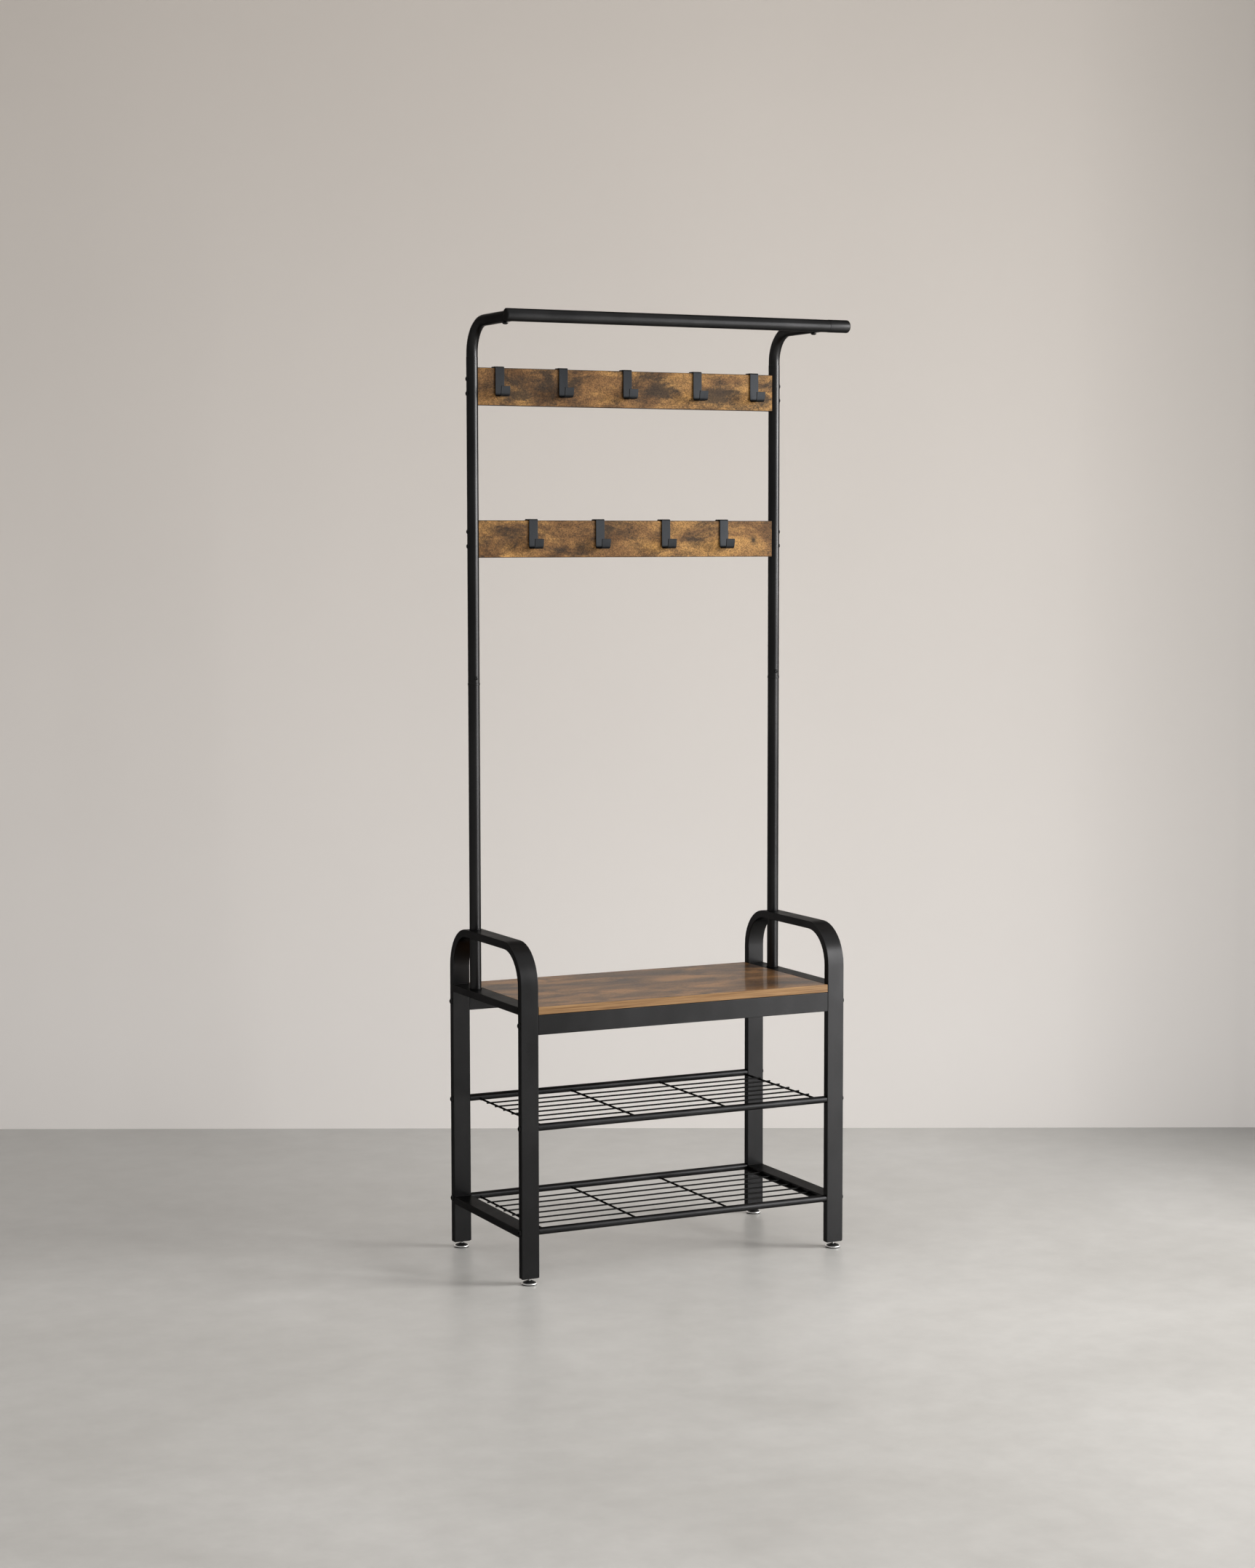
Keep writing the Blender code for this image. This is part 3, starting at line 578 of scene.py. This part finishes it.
def refine(name, rounded=None, axis=(0, 0, 1), span=(-FAR, FAR)):
    """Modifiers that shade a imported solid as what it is, and round its long edges.

    rounded is a key of EDGE_ROUND, and span is where along the axis edges are rounded.
    """
    thing = NODES[name]
    joining = thing.modifiers.new("joining", "NODES")
    joining.node_group = JOINING
    flat = thing.modifiers.new("flat_faces", "DECIMATE")
    flat.decimate_type = "DISSOLVE"
    flat.angle_limit = math.radians(0.4)
    marking = thing.modifiers.new("marking", "NODES")
    marking.node_group = MARKING
    set_input(marking, "Shortest", SHORTEST_ROUNDED.get(rounded, SHORTEST_ROUNDED["tube"]))
    set_input(marking, "From", span[0])
    set_input(marking, "To", span[1])
    set_input(marking, "Axis", axis)
    if rounded:
        bevel = thing.modifiers.new("rounding", "BEVEL")
        bevel.width = EDGE_ROUND[rounded]
        bevel.segments = 3
        bevel.limit_method = "WEIGHT"
        bevel.use_clamp_overlap = False
        bevel.harden_normals = True


def paint(name, material):
    """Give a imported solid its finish."""
    thing = NODES[name]
    thing.data.materials.clear()
    thing.data.materials.append(material)


# ---------------------------------------------------------------- shapes of the new pieces
def polygon_radius(radius, angle, corners):
    """How far a polygon with this corner radius reaches at an angle; a circle if no corners."""
    if not corners:
        return radius
    sector = 2 * math.pi / corners
    return radius * math.cos(sector / 2) / math.cos(angle % sector - sector / 2)


def add_lathe(shape, profile, matrix, segments=36):
    """A closed turned solid. Each profile point is (radius, height) or also its corners."""
    rings = []
    for radius, height, *corners in profile:
        if radius == 0:
            rings.append([shape.verts.new(matrix @ Vector((0, 0, height)))])
            continue
        ring = []
        for i in range(segments):
            angle = 2 * math.pi * i / segments
            reach = polygon_radius(radius, angle, corners[0] if corners else 0)
            point = Vector((reach * math.cos(angle), reach * math.sin(angle), height))
            ring.append(shape.verts.new(matrix @ point))
        rings.append(ring)
    join_rings(shape, rings)


def join_rings(shape, rings):
    """Faces between neighbouring rings; a ring of one point makes a fan."""
    for first, second in zip(rings, rings[1:]):
        count = max(len(first), len(second))
        for i in range(count):
            j = (i + 1) % count
            if len(first) == 1:
                corners = [first[0], second[i], second[j]]
            elif len(second) == 1:
                corners = [first[i], second[0], first[j]]
            else:
                corners = [first[i], second[i], second[j], first[j]]
            shape.faces.new(corners)


def add_bead(shape, path, radius, pitch, up, closed):
    """A weld bead along a path: a small rippled bar, half sunk in the corner it fills."""
    sides = 8
    count = len(path)
    travelled = 0.0
    rings = []
    for i, point in enumerate(path):
        before = path[i - 1] if i or closed else point
        after = path[(i + 1) % count] if i < count - 1 or closed else point
        tangent = (after - before).normalized()
        side = tangent.cross(up).normalized()
        over = side.cross(tangent)
        if i:
            travelled += (point - path[i - 1]).length
        swell = radius * (0.92 + 0.08 * math.cos(2 * math.pi * travelled / pitch))
        ring = []
        for k in range(sides):
            angle = 2 * math.pi * k / sides
            away = side * math.cos(angle) + over * math.sin(angle)
            ring.append(shape.verts.new(point + away * swell))
        rings.append(ring)
    if closed:
        rings.append(rings[0])
    else:
        rings.insert(0, [shape.verts.new(path[0])])
        rings.append([shape.verts.new(path[-1])])
    join_rings(shape, rings)


def straight_path(start, end, pitch):
    """Points along a line, four to a ripple."""
    start, end = Vector(start), Vector(end)
    steps = max(4, round((end - start).length / pitch * 4))
    return [start.lerp(end, i / steps) for i in range(steps + 1)]


def round_path(centre, radius, first, second, pitch):
    """Points round a circle in the plane of two unit vectors, a whole number of ripples."""
    ripples = max(3, round(2 * math.pi * radius / pitch))
    steps = ripples * 4
    centre, first, second = Vector(centre), Vector(first), Vector(second)
    return [
        centre
        + first * radius * math.cos(2 * math.pi * i / steps)
        + second * radius * math.sin(2 * math.pi * i / steps)
        for i in range(steps)
    ]


def add_piece(name, shape, material, body, replaced=None):
    """Make the shape an object that rides on a body and takes its finish from a slot."""
    bmesh.ops.recalc_face_normals(shape, faces=shape.faces)
    mesh = bpy.data.meshes.new(name)
    shape.to_mesh(mesh)
    shape.free()
    mesh.shade_smooth()
    mesh.set_sharp_from_angle(angle=SHARP)
    thing = bpy.data.objects.new(name, mesh)
    bpy.context.scene.collection.objects.link(thing)
    mesh.materials.append(material)
    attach(thing, body)
    if replaced:
        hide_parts(replaced)


def facing(place, direction):
    """Where a turned shape goes: its base at place, its top looking along direction."""
    turn = Vector(direction).to_track_quat("Z", "Y").to_matrix().to_4x4()
    return Matrix.Translation(place) @ turn


def button_profile(radius, height, shank, length):
    """Domed head with a recessed hex socket over a shank, from the socket's floor to the tip."""
    socket = radius * 0.50
    floor = height * 0.30
    profile = [(0, floor), (socket * 0.98, floor, 6), (socket, height * 0.93, 6)]
    steps = 6
    lip = math.asin(socket * 1.12 / radius)
    for i in range(steps + 1):
        angle = lip + (math.pi / 2 - lip) * i / steps
        profile.append((radius * math.sin(angle), height * math.cos(angle) * 0.94 + height * 0.06))
    profile += [(radius * 0.985, 0), (shank, 0), (shank, -length + BOLT_TIP)]
    return profile + [(shank - BOLT_TIP, -length), (0, -length)]


# ---------------------------------------------------------------- fittings
def add_button(name, axis, outward, size):
    """A button-head bolt in place of a plain packed one; its head looks outward on an axis."""
    low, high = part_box(name)
    length = high[axis] - low[axis] - size["height"]
    place = (low + high) / 2
    place[axis] = (high if outward > 0 else low)[axis] - outward * size["height"]
    direction = [0, 0, 0]
    direction[axis] = outward
    shape = bmesh.new()
    add_lathe(shape, button_profile(**size, length=length), facing(place, direction))
    add_piece(f"{name}_button", shape, BOLT_STEEL, "stand", name)


def leg_bolts():
    """Through the legs, with heads on the outer sides."""
    for name in sorted(NODES):
        if name.startswith("leg_bolt_"):
            add_button(name, 0, 1 if "_right_" in name else -1, LEG_BOLT)


def rod_bolts():
    """Up through the top bends into the rod."""
    for side in SIDES:
        add_button(f"rod_bolt_{side}", 2, -1, LEG_BOLT)


def post_screws():
    """On the front of each post, above its joint."""
    for side in SIDES:
        add_button(f"post_screw_{side}", 1, -1, POST_SCREW)


def board_bolts():
    """Small button heads on the outer side of each post, two to each board end."""
    profile = button_profile(**BOARD_BOLT, length=BOARD_BOLT_LENGTH)
    for row in ROWS:
        board_low, board_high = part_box(f"{row}_hook_board")
        middle_z = (board_low.z + board_high.z) / 2
        for side, sign in SIDES.items():
            low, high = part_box(f"upper_post_{side}")
            face = high.x if sign > 0 else low.x
            y = (low.y + high.y) / 2
            shape = bmesh.new()
            for spread in (-BOARD_BOLT_SPREAD, BOARD_BOLT_SPREAD):
                place = (face - sign * SINK, y, middle_z + spread)
                add_lathe(shape, profile, facing(place, (sign, 0, 0)))
            add_piece(f"{row}_board_bolts_{side}", shape, BOLT_STEEL, "stand")


def post_collars():
    """The swaged ring where the upper post slips over the lower one."""
    for side in SIDES:
        low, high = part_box(f"upper_post_{side}")
        radius = (high.x - low.x) / 2
        middle = (low + high) / 2
        proud = radius + COLLAR_PROUD
        half = COLLAR_HEIGHT / 2
        soft = COLLAR_PROUD * 0.8
        profile = [
            (radius - SINK, half),
            (proud - soft, half),
            (proud, half - soft),
            (proud, -half + soft),
            (proud - soft, -half),
            (radius - SINK, -half),
            (radius - SINK, half),
        ]
        shape = bmesh.new()
        place = Matrix.Translation((middle.x, middle.y, low.z))
        add_lathe(shape, profile, place, ROUND_SEGMENTS)
        bmesh.ops.remove_doubles(shape, verts=shape.verts, dist=1e-6)
        add_piece(f"post_collar_{side}", shape, BLACK_STEEL, "stand")


def side_welds():
    """Beads where the side rails meet the legs, and where the posts meet rail and handle."""
    for side in SIDES:
        shape = bmesh.new()
        for rail in ("seat", "lower"):
            low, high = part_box(f"{rail}_side_rail_{side}")
            start, end = low.x + WELD_INSET, high.x - WELD_INSET
            for y in (low.y, high.y):
                for z in (low.z, high.z):
                    path = straight_path((start, y, z), (end, y, z), WELD_PITCH)
                    add_bead(shape, path, WELD_RADIUS, WELD_PITCH, Vector((0, 0, 1)), False)
        low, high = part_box(f"lower_post_{side}")
        middle = (low + high) / 2
        radius = (high.x - low.x) / 2
        handle_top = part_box(f"side_frame_{side}")[1].z
        for z in (low.z, handle_top):
            path = round_path((middle.x, middle.y, z), radius, (1, 0, 0), (0, 1, 0), WELD_PITCH)
            add_bead(shape, path, WELD_RADIUS, WELD_PITCH, Vector((0, 0, 1)), True)
        add_piece(f"side_welds_{side}", shape, WIRE_STEEL, "stand")


def shelf_welds():
    """Small beads round the ends of the cross wires, where they meet the shelf tubes."""
    wire = CROSS_WIRE["radius"]
    for row in ROWS:
        low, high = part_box(f"{row}_shelf_wires")
        last = high.x - CROSS_WIRE["inset"]
        shape = bmesh.new()
        for i in range(CROSS_WIRE["count"]):
            x = last - i * CROSS_WIRE["pitch"]
            for y in (low.y, high.y):
                path = round_path((x, y, low.z + wire), wire, (1, 0, 0), (0, 0, 1), WELD_PITCH)
                add_bead(shape, path, CROSS_WIRE_WELD, WELD_PITCH, Vector((0, 1, 0)), True)
        add_piece(f"{row}_shelf_welds", shape, WIRE_STEEL, "stand")


def levelling_foot(name):
    """Rubber sole, bright pressed rim, black dome and a threaded stud.

    The profiles' small numbers are the rounding of their corners and the dome's curve.
    """
    low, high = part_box(name)
    base = Matrix.Translation(((low.x + high.x) / 2, (low.y + high.y) / 2, low.z))
    edge, sole_top, rim_top, dome_top = FOOT_RADIUS, FOOT_SOLE_TOP, FOOT_RIM_TOP, FOOT_DOME_TOP
    sole = bmesh.new()
    profile = [(0, sole_top), (edge - 0.0008, sole_top), (edge - 0.0004, sole_top * 0.5)]
    profile += [(edge - 0.0010, 0.0002), (edge - 0.0016, 0), (0, 0)]
    add_lathe(sole, profile, base, ROUND_SEGMENTS)
    add_piece(f"{name}_sole", sole, RUBBER, name, name)
    ring = bmesh.new()
    inner = edge - FOOT_RIM_WIDTH
    profile = [(inner, rim_top), (edge - 0.0012, rim_top), (edge - 0.0004, rim_top - 0.0004)]
    profile += [(edge, rim_top - 0.0011), (edge, sole_top + 0.0004), (edge - 0.0003, sole_top)]
    profile += [(inner, sole_top), (inner, rim_top)]
    add_lathe(ring, profile, base, ROUND_SEGMENTS)
    bmesh.ops.remove_doubles(ring, verts=ring.verts, dist=1e-6)
    add_piece(f"{name}_rim", ring, CHROME, name)
    dome = bmesh.new()
    profile = [(0, dome_top), (0.0042, dome_top), (0.0052, dome_top - 0.0004)]
    profile += [(0.0076, dome_top - 0.0014), (0.0102, rim_top + 0.0016)]
    profile += [(0.0122, rim_top + 0.0006), (edge - 0.0021, rim_top - 0.0004)]
    profile += [(edge - 0.0021, sole_top + FOOT_LAP), (0, sole_top + FOOT_LAP)]
    add_lathe(dome, profile, base, ROUND_SEGMENTS)
    add_piece(f"{name}_dome", dome, BLACK_PLASTIC, name)
    stud = bmesh.new()
    add_thread(stud, base, dome_top - STUD_TIP, high.z - low.z)
    add_piece(f"{name}_stud", stud, CHROME, name)


def add_thread(shape, base, bottom, top):
    """A stud with a helical thread, its end chamfered."""
    segments = 20
    steps_in_pitch = 6
    steps = round((top - bottom) / STUD_PITCH * steps_in_pitch)
    rings = [[shape.verts.new(base @ Vector((0, 0, bottom)))]]
    for k in range(steps + 1):
        height = bottom + (top - bottom) * k / steps
        chamfer = max(0.0, height - top + STUD_TIP)
        ring = []
        for i in range(segments):
            phase = height / STUD_PITCH - i / segments
            groove = THREAD_DEPTH * (0.5 - 0.5 * math.cos(2 * math.pi * phase))
            reach = STUD_RADIUS - max(groove, chamfer)
            angle = 2 * math.pi * i / segments
            point = Vector((reach * math.cos(angle), reach * math.sin(angle), height))
            ring.append(shape.verts.new(base @ point))
        rings.append(ring)
    rings.append([shape.verts.new(base @ Vector((0, 0, top)))])
    join_rings(shape, rings)


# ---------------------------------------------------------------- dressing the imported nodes
def dress_nodes():
    """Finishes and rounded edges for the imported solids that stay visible."""
    paint("seat_board", rustic_laminate("seat_laminate", seat_look()))
    refine("seat_board", "board")
    for row in ROWS:
        name = f"{row}_hook_board"
        paint(name, rustic_laminate(f"{row}_board_laminate", board_look(row)))
        refine(name, "board")
    for name in sorted(NODES):
        if name.endswith("_board") or "bolt" in name or "screw" in name:
            continue
        if name.startswith("levelling_foot"):
            continue
        low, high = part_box(name)
        if "_hook_" in name:
            paint(name, HOOK_STEEL)
            refine(name, "hook")
        elif name.startswith("rod_cap"):
            paint(name, CAP_BLACK)
            refine(name)
        elif name.endswith("shelf_wires"):
            paint(name, WIRE_STEEL)
            refine(name)
        elif name.startswith("leg_insert"):
            paint(name, BLACK_PLASTIC)
            refine(name, "cap")
        else:
            paint(name, BLACK_STEEL)
            if name.startswith("side_frame"):
                refine(name, "tube", (0, 0, 1), (low.z + TUBE_END, FAR))
            elif "side_rail" in name:
                refine(name, "tube", (0, 1, 0), (low.y + TUBE_END, high.y - TUBE_END))
            elif name.endswith("seat_rail"):
                refine(name, "tube", (1, 0, 0), (low.x + TUBE_END, high.x - TUBE_END))
            else:
                refine(name)


# ---------------------------------------------------------------- room, light and camera
def heading():
    """The camera's direction along the floor, and the direction to its right."""
    forward = Vector((-math.sin(CAMERA_YAW), math.cos(CAMERA_YAW), 0))
    return forward, Vector((forward.y, -forward.x, 0))


def add_sheet(name, corners, material):
    """A flat sheet of the staged room."""
    mesh = bpy.data.meshes.new(name)
    mesh.from_pydata([tuple(c) for c in corners], [], [tuple(range(len(corners)))])
    thing = bpy.data.objects.new(name, mesh)
    bpy.context.scene.collection.objects.link(thing)
    mesh.materials.append(material)


def reach_along(shader, direction):
    """How far a place lies along a direction."""
    inputs = {0: shader.place, 1: direction}
    return shader.add("ShaderNodeVectorMath", inputs, operation="DOT_PRODUCT").outputs["Value"]


def across(shader):
    """How far a place lies across the view of the wall: 0 at its left side and 1 at its right."""
    return shader.between(reach_along(shader, heading()[1]), -WALL_HALF_VIEW, WALL_HALF_VIEW)


def floor_material():
    """Pale polished concrete, clouded, with painted shade towards the wall and in its nooks."""
    shader = Shader("room_floor")
    cloud = shader.noise((1.3, 1.3, 1), detail=6, roughness=0.6, distortion=0.6)
    tone = shader.ramp(cloud, (0.32, (0.500, 0.493, 0.474)), (0.68, (0.610, 0.604, 0.588)))
    fine = shader.between(shader.noise(14, detail=6, roughness=0.65), 0.3, 0.7, 0.95, 1.05)
    tone = shader.mix(1.0, tone, fine, "MULTIPLY")
    forward = heading()[0]
    wall_at = forward.dot(Vector((CAMERA_PLACE[0], CAMERA_PLACE[1], 0))) + WALL_DISTANCE
    gap = shader.math("SUBTRACT", wall_at, reach_along(shader, forward))
    # painted shade: the floor darkens as it nears the wall
    painted_dusk = shader.between(gap, 0.0, FLOOR_PAINTED_SHADE["reach"], FLOOR_PAINTED_SHADE["tone"], 1.0)
    tone = shader.mix(1.0, tone, painted_dusk, "MULTIPLY")
    # painted shade in the nooks by the wall, on one side of the view each
    for painted_nook in FLOOR_PAINTED_NOOKS:
        depth = shader.between(gap, 0.0, painted_nook["reach"], painted_nook["tone"], 1.0)
        side = shader.between(across(shader), painted_nook["from"], painted_nook["to"])
        tone = shader.mix(side, tone, shader.mix(1.0, tone, depth, "MULTIPLY"))
    shader.set(Base_Color=tone)
    shader.set(Roughness=shader.between(cloud, 0.3, 0.7, 0.28, 0.42), Specular_IOR_Level=0.5)
    return shader.material


def wall_material():
    """Matt paint with painted shade, darker to the right and upwards, on the side that faces the
    room.

    Seen from behind, the wall isn't there.
    """
    shader = Shader("room_wall")
    # painted shade: the wall is darker towards the right
    shade = shader.ramp(across(shader), *WALL_SHADE)
    shade.node.color_ramp.interpolation = "CARDINAL"
    up = shader.axis("Z")
    # painted shade: the wall is darker and warmer upwards
    height = shader.between(up, WALL_TOP_SHADE["from"], WALL_TOP_SHADE["to"], 1.0, WALL_TOP_SHADE["tone"])
    shade_warmth = shader.mix(height, WALL_SHADE_WARMTH, (1.0, 1.0, 1.0))
    paint = shader.mix(1.0, WALL_PAINT, shade_warmth, "MULTIPLY")
    tone = shader.mix(1.0, shader.mix(1.0, paint, shade, "MULTIPLY"), height, "MULTIPLY")
    cloud = shader.between(shader.noise(0.8, detail=4), 0.3, 0.7, 0.98, 1.02)
    shader.set(Base_Color=shader.mix(1.0, tone, cloud, "MULTIPLY"), Roughness=0.9)
    shader.set(Specular_IOR_Level=0.1)
    clear = shader.add("ShaderNodeBsdfTransparent").outputs[0]
    back = shader.add("ShaderNodeNewGeometry").outputs["Backfacing"]
    mixed = shader.add("ShaderNodeMixShader", {0: back, 1: shader.surface.outputs[0], 2: clear})
    shader.put(shader.tree.nodes["Material Output"].inputs["Surface"], mixed.outputs[0])
    return shader.material


def room():
    """Floor and wall, square to the camera's direction."""
    forward, right = heading()
    eye = Vector((CAMERA_PLACE[0], CAMERA_PLACE[1], 0))
    side = right * ROOM_REACH
    far, near = eye + forward * (WALL_DISTANCE + ROOM_REACH), eye - forward * ROOM_REACH
    add_sheet("floor", [near - side, near + side, far + side, far - side], floor_material())
    foot = eye + forward * WALL_DISTANCE
    up = Vector((0, 0, WALL_HEIGHT))
    corners = [foot - side, foot + side, foot + side + up, foot - side + up]
    add_sheet("wall", corners, wall_material())


def add_light(name, azimuth, distance, height, size, power, colour):
    """A soft panel. Azimuth 0 is in front of the object, and positive is to its right."""
    light = bpy.data.lights.new(name, "AREA")
    light.shape = "RECTANGLE"
    light.size, light.size_y = size
    light.energy = power
    light.color = colour
    thing = bpy.data.objects.new(name, light)
    bpy.context.scene.collection.objects.link(thing)
    angle = math.radians(azimuth)
    place = Vector((math.sin(angle) * distance, -math.cos(angle) * distance, height))
    thing.location = place
    aim = Vector((0, 0, LIGHT_AIM_HEIGHT)) - place
    thing.rotation_euler = aim.to_track_quat("-Z", "Y").to_euler()
    thing.visible_camera = False


def world():
    """Soft light from all round, stronger from above."""
    made = bpy.data.worlds.new("room_light")
    made.use_nodes = True
    tree = made.node_tree
    place = node_of(tree, "ShaderNodeTexCoord").outputs["Generated"]
    up = node_of(tree, "ShaderNodeSeparateXYZ", {0: place}).outputs["Z"]
    ramp = node_of(tree, "ShaderNodeValToRGB", {"Fac": up})
    elements = ramp.color_ramp.elements
    elements[0].position, elements[0].color = 0.05, (*WORLD_LOW, 1)
    elements[1].position, elements[1].color = 0.85, (*WORLD_HIGH, 1)
    background = tree.nodes["Background"]
    tree.links.new(ramp.outputs["Color"], background.inputs["Color"])
    background.inputs["Strength"].default_value = 1.0
    bpy.context.scene.world = made


def camera():
    """The camera that took the photograph, as fitted to it."""
    data = bpy.data.cameras.new("camera")
    data.sensor_width = 36
    data.lens = CAMERA_LENS
    data.clip_end = 60
    thing = bpy.data.objects.new("camera", data)
    bpy.context.scene.collection.objects.link(thing)
    yaw = Matrix.Rotation(CAMERA_YAW, 4, "Z")
    pitch = Matrix.Rotation(math.pi / 2 + CAMERA_PITCH, 4, "X")
    roll = Matrix.Rotation(CAMERA_ROLL, 4, "Z")
    thing.matrix_world = Matrix.Translation(CAMERA_PLACE) @ yaw @ pitch @ roll
    bpy.context.scene.camera = thing


camera()
world()
room()
add_light(
    "key_window",
    azimuth=58,
    distance=6.2,
    height=2.4,
    size=(2.0, 2.6),
    power=430,
    colour=(1.0, 0.985, 0.96),
)
add_light(
    "front_strip",
    azimuth=35,
    distance=3.8,
    height=1.4,
    size=(0.45, 2.8),
    power=42,
    colour=(1.0, 0.99, 0.98),
)
bpy.context.scene.view_settings.view_transform = "Standard"

dress_nodes()
leg_bolts()
rod_bolts()
post_screws()
board_bolts()
post_collars()
side_welds()
shelf_welds()
for node_name in sorted(NODES):
    if node_name.startswith("levelling_foot"):
        levelling_foot(node_name)
